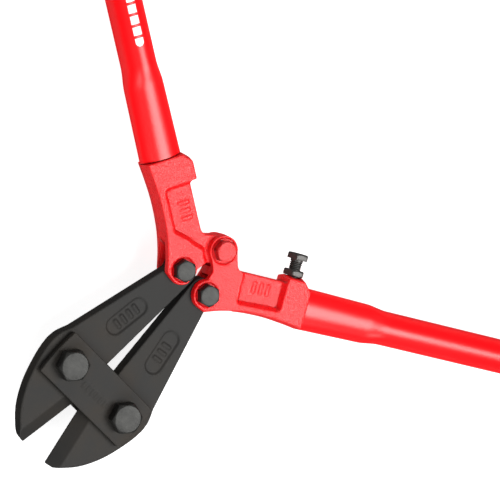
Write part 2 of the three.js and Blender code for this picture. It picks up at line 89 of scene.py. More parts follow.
def place_along(axis, origin, turn=0.0):
    """A frame whose z runs along an axis from an origin, turned about that axis."""
    rotation = UP.rotation_difference(Vector(axis)).to_matrix().to_4x4()
    return Matrix.Translation(origin) @ rotation @ Matrix.Rotation(turn, 4, "Z")


def handle_place(side):
    """A handle's own frame: x out along it, y across it to the inside, from the centre bolt."""
    place = Matrix((ACROSS.cross(UP), ACROSS, UP)).transposed().to_4x4()
    place.translation = CENTRE
    if side == "right":
        return place
    turn = Matrix.Rotation(pi, 4, "Y")
    return Matrix.Translation(CENTRE) @ turn @ Matrix.Translation(-CENTRE) @ place


def local_box(node, place):
    """The lowest and highest corners of a node, measured in a frame of its own."""
    back = place.inverted()
    points = [back @ vert.co for vert in frame["nodes"][node].data.vertices]
    low = Vector([min(point[i] for point in points) for i in range(3)])
    high = Vector([max(point[i] for point in points) for i in range(3)])
    return low, high


def middle(node):
    low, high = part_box(node)
    return (low + high) / 2


def jaw_place(side):
    """A jaw's own frame: its tie bolt at the origin, y towards its jaw bolt."""
    origin = middle(f"{side}_tie_bolt")
    tail = middle(f"{side}_jaw_bolt")
    origin.z = tail.z = CENTRE.z
    along = (tail - origin).normalized()
    place = Matrix((along.cross(UP), along, UP)).transposed().to_4x4()
    place.translation = origin
    return place


# ---------------------------------------------------------------- shaping

def circle(radius, height):
    return lambda angle: Vector((radius * cos(angle), radius * sin(angle), height))


def ellipse(wide, thick, height):
    return lambda angle: Vector((wide * cos(angle), thick * sin(angle), height))


def hexagon(flats, height, rim=None, slope=0.0):
    """A hexagon's ring; past the rim's radius it falls away as a turned chamfer does."""
    def at(angle):
        radius = flats / 2 / cos(angle % (pi / 3) - pi / 6)
        drop = max(0.0, radius - rim) * slope if rim else 0.0
        return Vector((radius * cos(angle), radius * sin(angle), height - drop))
    return at


def thread_ring(radius, pitch, height):
    """A level slice through a V thread of a pitch, with its crest at the radius."""
    depth = pitch * 0.6

    def at(angle):
        phase = (height / pitch - angle / (2 * pi)) % 1.0
        crest = min(1.0, 1.25 * (1 - abs(2 * phase - 1)))
        here = radius - depth * (1 - crest)
        return Vector((here * cos(angle), here * sin(angle), height))
    return at


def loft(bm, rings, sides, closed=False):
    """Skins a row of rings, and caps the ends or joins the last ring to the first."""
    loops = []
    for ring in rings:
        verts = bmesh.ops.create_circle(bm, segments=sides, radius=1)["verts"]
        edges = list({edge for vert in verts for edge in vert.link_edges})
        for vert in verts:
            vert.co = ring(Vector(vert.co.xy).angle_signed(Vector((1, 0)), 0.0) % (2 * pi))
        loops.append(edges)
    pairs = list(zip(loops, loops[1:]))
    if closed:
        pairs.append((loops[-1], loops[0]))
    for low, high in pairs:
        bmesh.ops.bridge_loops(bm, edges=low + high)
    if not closed:
        for end in (loops[0], loops[-1]):
            bmesh.ops.edgeloop_fill(bm, edges=end)
    bmesh.ops.recalc_face_normals(bm, faces=bm.faces)


def soften_edges(bm, width, over, chosen=lambda edge: True):
    """Bevels the edges that are sharper than an angle."""
    sharp = [
        edge for edge in bm.edges
        if edge.is_manifold and edge.calc_face_angle() > over and chosen(edge)
    ]
    bmesh.ops.bevel(
        bm, geom=sharp, offset=width, offset_type="OFFSET", segments=2,
        profile=0.5, affect="EDGES", material=-1, clamp_overlap=True,
    )


def add_bar(bm, place, at, size):
    """A small block, sunk to half its height where it stands."""
    block = Matrix.Translation(at) @ Matrix.Diagonal((*size, 1))
    bmesh.ops.create_cube(bm, size=1, matrix=place @ block)


def frame_copy(node):
    """The node's mesh as a bmesh of its own, with its loose triangles joined up."""
    bm = bmesh.new()
    bm.from_mesh(frame["nodes"][node].data)
    bmesh.ops.remove_doubles(bm, verts=bm.verts, dist=0.01 * MM)
    return bm


def worn_smooth(bm, voxel, passes):
    """Rebuilds a sharp solid as an even skin whose edges and corners are rounded over."""
    mesh = bpy.data.meshes.new("blank")
    bm.to_mesh(mesh)
    bm.free()
    blank = bpy.data.objects.new("blank", mesh)
    bpy.context.scene.collection.objects.link(blank)
    remesh = blank.modifiers.new("Even skin", "REMESH")
    remesh.mode = "VOXEL"
    remesh.voxel_size = voxel
    evaluated = blank.evaluated_get(bpy.context.evaluated_depsgraph_get())
    skin = bmesh.new()
    skin.from_mesh(evaluated.to_mesh())
    evaluated.to_mesh_clear()
    bpy.data.objects.remove(blank)
    bpy.data.meshes.remove(mesh)
    for _ in range(passes):
        bmesh.ops.smooth_vert(
            skin, verts=skin.verts, factor=0.5,
            use_axis_x=True, use_axis_y=True, use_axis_z=True,
        )
    return skin


def add_piece(name, bm, material, node, place=None, sharp_over=radians(32)):
    """Makes the piece that stands for a node and rides on the node's body."""
    if place is not None:
        bmesh.ops.transform(bm, matrix=place, verts=bm.verts)
    mesh = bpy.data.meshes.new(name)
    bm.to_mesh(mesh)
    bm.free()
    mesh.polygons.foreach_set("use_smooth", [True] * len(mesh.polygons))
    mesh.set_sharp_from_angle(angle=sharp_over)
    mesh.materials.append(material)
    piece = bpy.data.objects.new(name, mesh)
    bpy.context.scene.collection.objects.link(piece)
    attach(piece, frame["nodes"][node]["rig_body"])
    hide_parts(node)
    return piece


# ---------------------------------------------------------------- shader kit

class Value:
    """A number that varies over a surface; arithmetic on it adds Math nodes."""

    def __init__(self, finish, socket):
        self.finish = finish
        self.socket = socket

    def math(self, operation, *values, clamp=False):
        settings = {"operation": operation, "use_clamp": clamp}
        node = self.finish.node("ShaderNodeMath", settings, dict(enumerate(values)))
        return Value(self.finish, node.outputs[0])

    def __add__(self, other):
        return self.math("ADD", self, other)

    def __radd__(self, other):
        return self.math("ADD", other, self)

    def __sub__(self, other):
        return self.math("SUBTRACT", self, other)

    def __rsub__(self, other):
        return self.math("SUBTRACT", other, self)

    def __mul__(self, other):
        return self.math("MULTIPLY", self, other)

    def __rmul__(self, other):
        return self.math("MULTIPLY", other, self)

    def __pow__(self, other):
        return self.math("POWER", self, other)

    def clamped(self):
        return self.math("MULTIPLY", self, 1.0, clamp=True)

    def above(self, edge, blur):
        """0 below an edge, 1 above it, with a soft step between."""
        return ((self - (edge - blur / 2)) * (1 / blur)).clamped()


class Finish:
    """A node material built round its Principled shader."""

    def __init__(self, name, slot, **constants):
        self.slot = slot
        self.material = bpy.data.materials.new(name)
        self.material.use_nodes = True
        self.tree = self.material.node_tree
        self.shader = self.tree.nodes["Principled BSDF"]
        self.place = self.node("ShaderNodeTexCoord").outputs["Object"]
        self.put(self.shader, constants)

    def put(self, node, sockets):
        """Sets a node's sockets to constants, or links them."""
        for key, value in sockets.items():
            target = node.inputs[key.replace("_", " ") if isinstance(key, str) else key]
            source = value.socket if isinstance(value, Value) else value
            if isinstance(source, bpy.types.NodeSocket):
                self.tree.links.new(source, target)
            else:
                target.default_value = source

    def node(self, kind, settings=None, sockets=None):
        made = self.tree.nodes.new(kind)
        for key, value in (settings or {}).items():
            if key == "stops":
                ramp = made.color_ramp.elements
                for stop, (position, colour) in zip((ramp[0], ramp[-1]), value):
                    stop.position = position
                    stop.color = (*colour, 1)
            else:
                setattr(made, key, value)
        self.put(made, sockets or {})
        return made

    def noise(self, scale, detail=2.0, roughness=0.5, stretch=(1, 1, 1), turn=(0, 0, 0)):
        """Noise whose grains are 1 / scale metres across."""
        vector = self.node("ShaderNodeMapping", None, {
            "Vector": self.place, "Rotation": turn, "Scale": stretch,
        }).outputs[0]
        node = self.node("ShaderNodeTexNoise", None, {
            "Vector": vector, "Scale": scale, "Detail": detail, "Roughness": roughness,
        })
        return Value(self, node.outputs[0])

    def along(self, axis, origin):
        """Distance along an axis from an origin, over the piece."""
        from_origin = self.node("ShaderNodeVectorMath", {"operation": "SUBTRACT"}, {
            0: self.place, 1: origin,
        }).outputs[0]
        dot = self.node("ShaderNodeVectorMath", {"operation": "DOT_PRODUCT"}, {
            0: from_origin, 1: axis,
        })
        return Value(self, dot.outputs["Value"])

    def away(self, origin):
        """Distance from a point."""
        node = self.node("ShaderNodeVectorMath", {"operation": "DISTANCE"}, {
            0: self.place, 1: origin,
        })
        return Value(self, node.outputs["Value"])

    def pointed(self):
        """Above a half on raised edges, below it in creases."""
        return Value(self, self.node("ShaderNodeNewGeometry").outputs["Pointiness"])

    def mixed(self, share, first, second):
        """The second colour over the first."""
        node = self.node("ShaderNodeMix", {"data_type": "RGBA"}, {
            0: share, 6: first, 7: second,
        })
        return node.outputs[2]

    def dress(self, colour, roughness, height=None, depth=0.0):
        self.put(self.shader, {"Base Color": colour, "Roughness": roughness})
        if height is not None:
            bump = self.node("ShaderNodeBump", None, {
                "Height": height, "Distance": depth, "Strength": 1.0,
            })
            self.put(self.shader, {"Normal": bump.outputs[0]})
        return self.material


def shade(colour, factor=1.0):
    return (*(channel * factor for channel in colour), 1.0)


# ---------------------------------------------------------------- finishes

def colour_property(name, description, default):
    return FloatVectorProperty(
        name=name, description=description, default=default,
        size=3, min=0.0, max=1.0, subtype="COLOR",
    )


def length_property(name, description, millimetres):
    return FloatProperty(
        name=name, description=description, default=millimetres * MM, min=0.0,
        unit="LENGTH", precision=4,
    )


def angle_property(name, description, degrees):
    return FloatProperty(
        name=name, description=description, default=radians(degrees), subtype="ANGLE",
    )


class CuttersFinishes(bpy.types.PropertyGroup):
    paint: colour_property("Paint", "Red paint on the yokes and tubes", (0.90, 0.002, 0.005))
    jaw: colour_property("Jaw steel", "Phosphated forging steel", (0.0225, 0.022, 0.021))
    bolt: colour_property("Bolt steel", "Bare bolt steel", (0.034, 0.034, 0.032))
    black: colour_property("Black steel", "Oxide-black stop bolt and nut", (0.056, 0.054, 0.051))
    rubber: colour_property("Rubber", "Grip rubber", (0.018, 0.018, 0.019))
    print_white: colour_property("Print", "Stripe printed on the tube", (0.88, 0.86, 0.86))


def yoke_paint(look):
    """Paint over a sand-grained forging, darker in the creases from thick paint and painted shade,
    lighter on the edges from thin paint and a painted highlight.
    """
    finish = Finish("yoke paint", "yoke_paint", Specular_IOR_Level=0.6)
    grain = finish.noise(680, 3.0, 0.6)
    lumps = finish.noise(190, 2.0, 0.5)
    bend = finish.pointed()
    crease = ((0.494 - bend) * 26).clamped()
    edge = ((bend - 0.515) * 9).clamped()
    speckled = finish.mixed(
        grain.above(0.5, 0.4), shade(look.paint, 0.78), shade(look.paint, 1.06))
    # Creases darkened: partly thick paint pooled there, partly painted shade where less light
    # reaches.
    thick = finish.mixed(crease * 0.92, speckled, shade(look.paint, 0.2))
    # Raised edges lightened towards salmon: partly thin paint, partly a painted highlight.
    thin_paint_and_highlight = finish.mixed(edge * 0.3, thick, (0.95, 0.08, 0.07, 1))
    height = grain * 0.8 + lumps * 0.4
    rough = 0.27 + grain.above(0.5, 0.3) * 0.17
    return finish.dress(thin_paint_and_highlight, rough, height, 0.9 * MM), finish.slot


def tube_paint(look, side, stripe):
    """Smooth gloss paint; the left tube carries a plain printed stripe."""
    finish = Finish(f"{side} tube paint", "tube_paint", Specular_IOR_Level=0.42)
    peel = finish.noise(420, 1.0, 0.4)
    cloud = finish.noise(14, 2.0, 0.5)
    colour = finish.mixed(cloud, shade(look.paint, 0.94), shade(look.paint, 1.08))
    roughness = 0.27 + cloud * 0.05
    # Dirt and shadow in the joint where the tube butts on the yoke.
    place = handle_place(side)
    joint = place @ Vector((local_box(f"{side}_tube", place)[0].x, 0, 0))
    near = 1 - finish.along(place.to_3x3().col[0], joint).above(0.9 * MM, 0.9 * MM)
    colour = finish.mixed(near * 0.85, colour, shade(look.paint, 0.12))
    if side == "left":
        printed = stripe_mask(finish, stripe)
        colour = finish.mixed(printed, colour, shade(look.print_white))
        roughness = roughness + printed * 0.15
    return finish.dress(colour, roughness, peel, 0.02 * MM), finish.slot


def stripe_mask(finish, stripe):
    """1 inside a round-ended stripe on the upper side of the left tube."""
    place = handle_place("left")
    origin = place @ Vector((stripe.along, stripe.across, 0))
    along = finish.along(place.to_3x3().col[0], origin)
    across = finish.along(place.to_3x3().col[1], origin)
    beyond = (along.math("ABSOLUTE", along) - (stripe.length - stripe.width) / 2)
    beyond = beyond.math("MAXIMUM", beyond, 0.0)
    reach = (beyond * beyond + across * across) ** 0.5
    inside = 1 - reach.above(stripe.width / 2, 0.2 * MM)
    above = finish.along(UP, origin).above(0.0, MM)
    phase = along.math("FRACT", (along + stripe.length / 2) * (1 / stripe.pitch))
    block = 1 - phase.above(0.74, 0.04)
    return inside * above * block


STAIN_REACH = 62 * MM
STAIN_BLUR = 60 * MM


def jaw_steel(look):
    """Dark phosphate, browner round the tie bolts, with painted shade in its creases, and lighter
    along its edges, partly rubbed bare and partly a painted highlight.
    """
    finish = Finish("jaw steel", "jaw_steel", Metallic=0.2, Specular_IOR_Level=0.15)
    cloud = finish.noise(26, 4.0, 0.6)
    speck = finish.noise(900, 2.0, 0.6)
    drawn = finish.noise(70, 3.0, 0.6, stretch=(1, 14, 1), turn=(0, 0, radians(24)))
    bend = finish.pointed()
    edge = ((bend - 0.52) * 9).clamped() * drawn.above(0.42, 0.4)
    crease = ((0.485 - bend) * 12).clamped()
    stains = [
        1 - finish.away(middle(f"{side}_tie_bolt")).above(STAIN_REACH, STAIN_BLUR)
        for side in SIDES
    ]
    near = stains[0].math("MAXIMUM", *stains)
    base = finish.mixed(cloud, shade(look.jaw, 0.7), shade(look.jaw, 1.3))
    warm = finish.mixed(near * cloud.above(0.5, 0.3) * 0.5, base, (0.032, 0.024, 0.0165, 1))
    # Painted shade: creases darkened towards near black.
    crease_shaded = finish.mixed(crease * 0.8, warm, shade(look.jaw, 0.25))
    # Edges lightened: partly steel rubbed bare, partly a painted highlight.
    worn_and_highlit = finish.mixed(edge * 0.8, crease_shaded, shade(look.bolt, 2.4))
    height = speck * 0.5 + drawn * 0.25
    return finish.dress(worn_and_highlit, 0.50 + cloud * 0.12 - edge * 0.12, height, 0.05 * MM), finish.slot


def bolt_steel(look):
    """Dull grey steel with faint turning marks and handling scratches."""
    finish = Finish("bolt steel", "bolt_steel", Metallic=0.7, Specular_IOR_Level=0.5)
    cloud = finish.noise(90, 3.0, 0.6)
    scratch = finish.noise(110, 4.0, 0.7, stretch=(1, 18, 1), turn=(0, 0, radians(-38)))
    pits = finish.noise(1500, 2.0, 0.5)
    base = finish.mixed(cloud.above(0.5, 0.4), shade(look.bolt, 0.6), shade(look.bolt, 1.4))
    stained = finish.mixed(scratch.above(0.56, 0.1) * 0.6, base, shade(look.bolt, 0.4))
    scuffed = finish.mixed(scratch.above(0.64, 0.06) * 0.6, stained, shade(look.bolt, 2.6))
    # Raised rims and edges lightened: partly bare metal worn through, partly a painted highlight.
    edge = ((finish.pointed() - 0.508) * 16).clamped()
    colour = finish.mixed(edge * cloud.above(0.35, 0.4) * 0.9, scuffed, shade(look.bolt, 4.5))
    height = pits * 0.4 + scratch * 0.3
    return finish.dress(colour, 0.42 + cloud * 0.14, height, 0.03 * MM), finish.slot


def black_steel(look, name, slot):
    """Oxide black with a trace of oil."""
    finish = Finish(name, slot, Metallic=0.5, Specular_IOR_Level=0.5)
    cloud = finish.noise(160, 3.0, 0.6)
    pits = finish.noise(1400, 2.0, 0.5)
    colour = finish.mixed(cloud, shade(look.black, 0.7), shade(look.black, 1.6))
    return finish.dress(colour, 0.36 + cloud * 0.14, pits, 0.03 * MM), slot


def grip_rubber(look):
    """Moulded rubber with a fine matt grain."""
    finish = Finish("grip rubber", "grip_rubber", Specular_IOR_Level=0.4)
    grain = finish.noise(1300, 2.0, 0.6)
    cloud = finish.noise(40, 3.0, 0.6)
    colour = finish.mixed(cloud, shade(look.rubber, 0.8), shade(look.rubber, 1.5))
    return finish.dress(colour, 0.58 + cloud * 0.14, grain, 0.06 * MM), finish.slot


# ---------------------------------------------------------------- forgings

class CuttersForgings(bpy.types.PropertyGroup):
    grid: length_property("Skin grid", "Spacing of the even skin on the forgings", 0.7)
    passes: IntProperty(
        name="Yoke rounding", description="Smoothing passes over the yokes", default=3, min=0)
    crisp: IntProperty(
        name="Jaw rounding", description="Smoothing passes over jaws and plates", default=2, min=0)
    bar_wide: length_property("Bar width", "Width of a raised bar in a pocket", 3.0)
    bar_long: length_property("Bar length", "Length of a raised bar in a pocket", 10.5)
    bar_tall: length_property("Bar height", "How far a raised bar stands up", 1.15)
    bar_pitch: length_property("Bar pitch", "Spacing of the raised bars", 7.4)
    pocket_floor: length_property(
        "Pocket floor", "Height of the pockets' floors off mid height", 7.5)
    label_floor: length_property(
        "Label floor", "Height of the label ovals' floors off mid height", 6.3)


# The pockets' middles in a handle's own frame, out from the centre bolt.
POCKET_ALONG = {"left": 47.5 * MM, "right": 50 * MM}
POCKET_ACROSS = -26.8 * MM
POCKET_BARS = 3

# The label ovals' middles, from a jaw's tie bolt towards its jaw bolt, and off that line.
LABEL_ALONG = 69.5 * MM
LABEL_OFFSET = 1.6 * MM
LABEL_BARS = {"left": 4, "right": 3}

# The row of faint bars on the front tie plate, off its middle.
PLATE_BARS = 7
PLATE_BARS_AT = Vector((3 * MM, -4.5 * MM, 0))
PLATE_BAR_PITCH = 5.6 * MM
PLATE_BAR_SIZE = Vector((2.2 * MM, 6.2 * MM, 0.8 * MM))


def add_bars(bm, place, centre, count, pitch, size):
    """A row of plain raised bars along a place's x axis; they stand on the centre's height."""
    for k in range(count):
        shift = Vector(((k - (count - 1) / 2) * pitch, 0, 0))
        add_bar(bm, place, centre + shift, size)


class CUTTERS_OT_yokes(bpy.types.Operator):
    """Make the two painted yokes, with plain raised bars in their front pockets"""
    bl_idname = "cutters.yokes"
    bl_label = "Yokes"

    def execute(self, context):
        settings = context.scene.cutters_forgings
        paint, slot = yoke_paint(context.scene.cutters_finishes)
        size = Vector((settings.bar_wide, settings.bar_long, 2 * settings.bar_tall))
        for side, up in (("left", -1), ("right", 1)):
            node = f"{side}_yoke"
            bm = frame_copy(node)
            centre = Vector((POCKET_ALONG[side], POCKET_ACROSS, up * settings.pocket_floor))
            add_bars(bm, handle_place(side), centre, POCKET_BARS, settings.bar_pitch, size)
            skin = worn_smooth(bm, settings.grid, settings.passes)
            piece = add_piece(f"{side}_yoke_forging", skin, paint, node, sharp_over=pi)
        return {"FINISHED"}


class CUTTERS_OT_jaws(bpy.types.Operator):
    """Make the two forged jaws, with plain raised bars in their label ovals"""
    bl_idname = "cutters.jaws"
    bl_label = "Jaws"

    def execute(self, context):
        settings = context.scene.cutters_forgings
        steel, slot = jaw_steel(context.scene.cutters_finishes)
        bar = Vector((settings.bar_wide, 0.9 * settings.bar_long, 2 * settings.bar_tall))
        for side, outwards in (("left", -1), ("right", 1)):
            node = f"{side}_jaw"
            bm = frame_copy(node)
            row = jaw_place(side) @ Matrix.Rotation(pi / 2, 4, "Z")
            centre = Vector((LABEL_ALONG, outwards * LABEL_OFFSET, settings.label_floor))
            add_bars(bm, row, centre, LABEL_BARS[side], settings.bar_pitch, bar)
            skin = worn_smooth(bm, settings.grid, settings.crisp)
            piece = add_piece(f"{side}_jaw_forging", skin, steel, node, sharp_over=pi)
        return {"FINISHED"}


class CUTTERS_OT_tie_plates(bpy.types.Operator):
    """Make the front and rear tie plates"""
    bl_idname = "cutters.tie_plates"
    bl_label = "Tie Plates"

    def execute(self, context):
        settings = context.scene.cutters_forgings
        steel, slot = jaw_steel(context.scene.cutters_finishes)
        for end in ("front", "rear"):
            node = f"{end}_tie_plate"
            bm = frame_copy(node)
            if end == "front":
                face = middle(node)
                face.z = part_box(node)[1].z
                add_bars(bm, Matrix.Translation(face), PLATE_BARS_AT, PLATE_BARS,
                         PLATE_BAR_PITCH, PLATE_BAR_SIZE)
            skin = worn_smooth(bm, settings.grid, settings.crisp)
            piece = add_piece(f"{end}_tie_plate_steel", skin, steel, node, sharp_over=pi)
        return {"FINISHED"}


# ---------------------------------------------------------------- handles

class CuttersStripe(bpy.types.PropertyGroup):
    along: length_property("Stripe place", "Centre bolt to the stripe's middle", 240)
    across: FloatProperty(
        name="Stripe offset", description="Across the handle to the stripe's middle",
        default=-36.5 * MM, unit="LENGTH", precision=4)
    length: length_property("Stripe length", "Length of the row of printed blocks", 62)
    width: length_property("Stripe width", "Width of the row of printed blocks", 8)
    pitch: length_property("Block pitch", "Spacing of the printed blocks", 10.4)


class CuttersHandles(bpy.types.PropertyGroup):
    sides: IntProperty(name="Sides", description="Sides of a tube or grip", default=64, min=12)
    wall: length_property("Tube wall", "Wall thickness of the tubes", 2.5)
    throat: length_property("Throat", "Where the flattened stretch ends, from the centre bolt", 168)
    round_start: length_property("Round", "Where the tube is round, from the centre bolt", 192)
    throat_half: length_property("Throat half width", "Half width where the flat ends", 19.2)
    rib_pitch: length_property("Rib pitch", "Spacing of the grip's ribs", 7.5)
    rib_depth: length_property("Rib depth", "Depth of the grooves between ribs", 1.1)


LIP = 0.5 * MM           # how far a tube's mouth is drawn in
LIP_LENGTH = 0.6 * MM
GRIP_FIT = 0.3 * MM      # the room between a tube and its grip


def smoothstep(value, low, high):
    share = min(1.0, max(0.0, (value - low) / (high - low)))
    return share * share * (3 - 2 * share)


def tube_rings(settings, low, high):
    """Rings out along a tube, then back along its bore; heights run along the handle."""
    radius = (high.z - low.z) / 2
    # The tube's girth hardly changes where it is flattened, so its two half widths
    # keep the sum of their squares; the node's height is that of the round stretch.
    mouth = (high.y - low.y) / 2
    stations = [low.x, low.x + LIP_LENGTH]
    stations += [low.x + (settings.throat - low.x) * k / 6 for k in range(1, 7)]
    blend = settings.round_start - settings.throat
    stations += [settings.throat + blend * k / 10 for k in range(1, 11)]
    straight = high.x - settings.round_start
    stations += [settings.round_start + straight * k / 12 for k in range(1, 13)]

    def ring(station, inset):
        if station <= settings.throat:
            share = (station - low.x) / (settings.throat - low.x)
            wide = mouth + (settings.throat_half - mouth) * share
        else:
            share = smoothstep(station, settings.throat, settings.round_start)
            wide = settings.throat_half + (radius - settings.throat_half) * share
        thick = sqrt(2 * radius ** 2 - wide ** 2)
        return ellipse(wide - inset, thick - inset, station)

    outside = [ring(low.x, LIP)] + [ring(station, 0) for station in stations[1:-1]]
    outside += [ring(high.x - LIP, 0), ring(high.x, LIP)]
    inside = [ring(station, settings.wall) for station in reversed(stations)]
    return outside + inside


def lying(place, across):
    """Turns a loft's height into the distance along a handle, its first axis across it."""
    swap = Matrix(((0, 0, 1, 0), (1, 0, 0, across), (0, 1, 0, 0), (0, 0, 0, 1)))
    return place @ swap


class CUTTERS_OT_tubes(bpy.types.Operator):
    """Make the two steel tubes, flattened where they grip the yokes"""
    bl_idname = "cutters.tubes"
    bl_label = "Tubes"

    def execute(self, context):
        settings = context.scene.cutters_handles
        for side in SIDES:
            node = f"{side}_tube"
            place = handle_place(side)
            low, high = local_box(node, place)
            bm = bmesh.new()
            loft(bm, tube_rings(settings, low, high), settings.sides, closed=True)
            paint, slot = tube_paint(
                context.scene.cutters_finishes, side, context.scene.cutters_stripe)
            piece = add_piece(
                f"{side}_tube_drawn", bm, paint, node, lying(place, (low.y + high.y) / 2))
        return {"FINISHED"}


def grip_rings(settings, low, high, tube_radius, tube_end):
    """Rings from the bore's floor to the mouth, over the flange and ribs to the closed end."""
    bore = tube_radius + GRIP_FIT
    flange = (high.y - low.y) / 2
    outer = flange - 6 * MM
    start, end = low.x, high.x
    rings = [circle(0.5 * MM, tube_end), circle(bore, tube_end), circle(bore, start)]
    rings += [circle(bore + 0.6 * MM, start), circle(flange - 2 * MM, start)]
    flange_width = 7 * MM
    for k in range(7):
        turn = pi * k / 6
        rings.append(circle(
            flange - 1.5 * MM * (1 - sin(turn)), start + flange_width * (1 - cos(turn)) / 2))
    rings.append(circle(outer, start + flange_width + 2.5 * MM))
    first = start + flange_width + 12 * MM
    last = end - 22 * MM
    count = int((last - first) / settings.rib_pitch)
    steps = 8
    for rib in range(count):
        for k in range(steps):
            share = k / steps
            groove = exp(-((share - 0.5) / 0.16) ** 2)
            rings.append(circle(
                outer - settings.rib_depth * groove, first + (rib + share) * settings.rib_pitch))
    rings.append(circle(outer, last))
    dome = 4 * MM
    for k in range(6):
        turn = pi / 2 * k / 5
        rings.append(circle(outer - dome * (1 - cos(turn)), end - dome * (1 - sin(turn))))
    rings.append(circle(outer * 0.5, end))
    rings.append(circle(0.5 * MM, end))
    return rings


class CUTTERS_OT_grips(bpy.types.Operator):
    """Make the two ribbed rubber grips"""
    bl_idname = "cutters.grips"
    bl_label = "Grips"

    def execute(self, context):
        settings = context.scene.cutters_handles
        rubber, slot = grip_rubber(context.scene.cutters_finishes)
        for side in SIDES:
            node = f"{side}_grip"
            place = handle_place(side)
            low, high = local_box(node, place)
            tube_low, tube_high = local_box(f"{side}_tube", place)
            radius = (tube_high.z - tube_low.z) / 2
            bm = bmesh.new()
            rings = grip_rings(settings, low, high, radius, tube_high.x + GRIP_FIT)
            loft(bm, rings, settings.sides)
            piece = add_piece(
                f"{side}_grip_ribbed", bm, rubber, node, lying(place, (low.y + high.y) / 2))
        return {"FINISHED"}


# ---------------------------------------------------------------- fasteners

class CuttersFasteners(bpy.types.PropertyGroup):
    tie_flats: length_property("Tie bolt flats", "Across the flats of the tie bolts", 27)
    tie_head: length_property("Tie bolt head", "Height of a tie bolt's head", 11.1)
    tie_radius: length_property("Tie bolt radius", "Half the tie bolts' thread size", 9)
    tie_pitch: length_property("Tie bolt pitch", "Thread pitch of the tie bolts", 2.0)
    tie_turn: angle_property("Tie bolt turn", "How the tie bolts' heads stand", 46.7)
    jaw_flats: length_property("Jaw bolt flats", "Across the flats of the smaller bolts", 19)
    jaw_head: length_property("Jaw bolt head", "Height of a jaw bolt's head", 8)
    jaw_radius: length_property("Jaw bolt radius", "Half the smaller bolts' thread size", 6)
    jaw_pitch: length_property("Jaw bolt pitch", "Thread pitch of the smaller bolts", 1.75)
    jaw_turn: angle_property("Jaw bolt turn", "How the jaw bolts' heads stand", 16.7)
    centre_turn: angle_property("Centre bolt turn", "How the centre bolt's head stands", 34)
    stop_head: length_property("Stop bolt head", "Height of the stop bolt's head", 5.7)
    split: angle_property("Washer split", "Opening of the spring washers", 12)


HEX_SIDES = 48
HEAD_RIM = 0.466         # a head's flat round top, as a share of its width across the flats
NUT_RIM = 0.475
CHAMFER = tan(radians(40))
WASHER_BORE = 0.64       # a spring washer's bore, as a share of its outside
WASHER_SPRUNG = 0.12     # how far its ends stand apart, as a share of its height
RINGS_PER_PITCH = 10


def bolt_rings(flats, head, radius, pitch, shank, threaded):
    """From the top of the head down the plain shank and the thread to the tip."""
    rim = flats * HEAD_RIM
    rings = [circle(rim * 0.55, head), circle(rim, head)]
    rings.append(hexagon(flats, head, rim, CHAMFER))
    rings += [hexagon(flats, 0), circle(radius + 0.6 * MM, 0), circle(radius, -0.5 * MM)]
    start = -(shank - threaded)
    if threaded < shank - MM:
        rings.append(circle(radius, start))
    steps = int(RINGS_PER_PITCH * (threaded - MM) / pitch)
    for k in range(1, steps):
        rings.append(thread_ring(radius, pitch, start - k * pitch / RINGS_PER_PITCH))
    tip = radius - 0.75 * pitch
    rings.append(circle(tip + 0.2 * MM, -shank + 0.3 * MM))
    rings += [circle(tip, -shank), circle(tip * 0.5, -shank)]
    return rings


def make_bolt(node, finish, flats, head, radius, pitch, place, shank, threaded):
    bm = bmesh.new()
    loft(bm, bolt_rings(flats, head, radius, pitch, shank, threaded), HEX_SIDES)

    def on_rim(edge):
        lowest = min(vert.co.z for vert in edge.verts)
        return lowest > -0.1 * MM and min(vert.co.xy.length for vert in edge.verts) > radius + MM

    soften_edges(bm, 0.3 * MM, radians(20), on_rim)
    piece = add_piece(f"{node}_threaded", bm, finish[0], node, place)


def make_nut(node, finish, flats, radius, place, thick):
    """A nut standing on height zero, chamfered at both ends of its hexagon and bore."""
    rim = flats * NUT_RIM
    bore = radius + 0.15 * MM
    lead = 0.9 * MM
    foot = hexagon(flats, 0, rim, CHAMFER)

    def upturned(angle):
        return Vector((*foot(angle).xy, -foot(angle).z))

    rings = [
        circle(bore + lead, 0), circle(rim, 0), upturned,
        hexagon(flats, thick, rim, CHAMFER), circle(rim, thick),
        circle(bore + lead, thick), circle(bore, thick - lead), circle(bore, lead),
    ]
    bm = bmesh.new()
    loft(bm, rings, HEX_SIDES, closed=True)
    soften_edges(bm, 0.25 * MM, radians(20))
    piece = add_piece(f"{node}_chamfered", bm, finish[0], node, place)


def make_washer(node, finish, split):
    """A spring washer: a square wire wound once round, with its ends sprung apart."""
    low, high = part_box(node)
    origin = middle(node)
    origin.z = low.z
    outer = max(high.x - low.x, high.y - low.y) / 2
    inner = outer * WASHER_BORE
    thick = high.z - low.z
    spring = thick * WASHER_SPRUNG
    bm = bmesh.new()
    corners = [(inner, 0), (outer, 0), (outer, thick - spring), (inner, thick - spring)]
    start = Matrix.Rotation(split / 2, 3, "Z")
    wire = bm.faces.new([bm.verts.new(start @ Vector((x, 0, z))) for x, z in corners])
    steps = 60
    bmesh.ops.spin(
        bm, geom=[wire, *wire.edges, *wire.verts], cent=(0, 0, 0), axis=(0, 0, 1),
        dvec=(0, 0, spring / steps), angle=2 * pi - split, steps=steps, use_duplicate=False,
    )
    bmesh.ops.remove_doubles(bm, verts=bm.verts, dist=0.001 * MM)
    bmesh.ops.recalc_face_normals(bm, faces=bm.faces)
    soften_edges(bm, 0.25 * MM, radians(40))
    piece = add_piece(f"{node}_sprung", bm, finish[0], node, Matrix.Translation(origin))


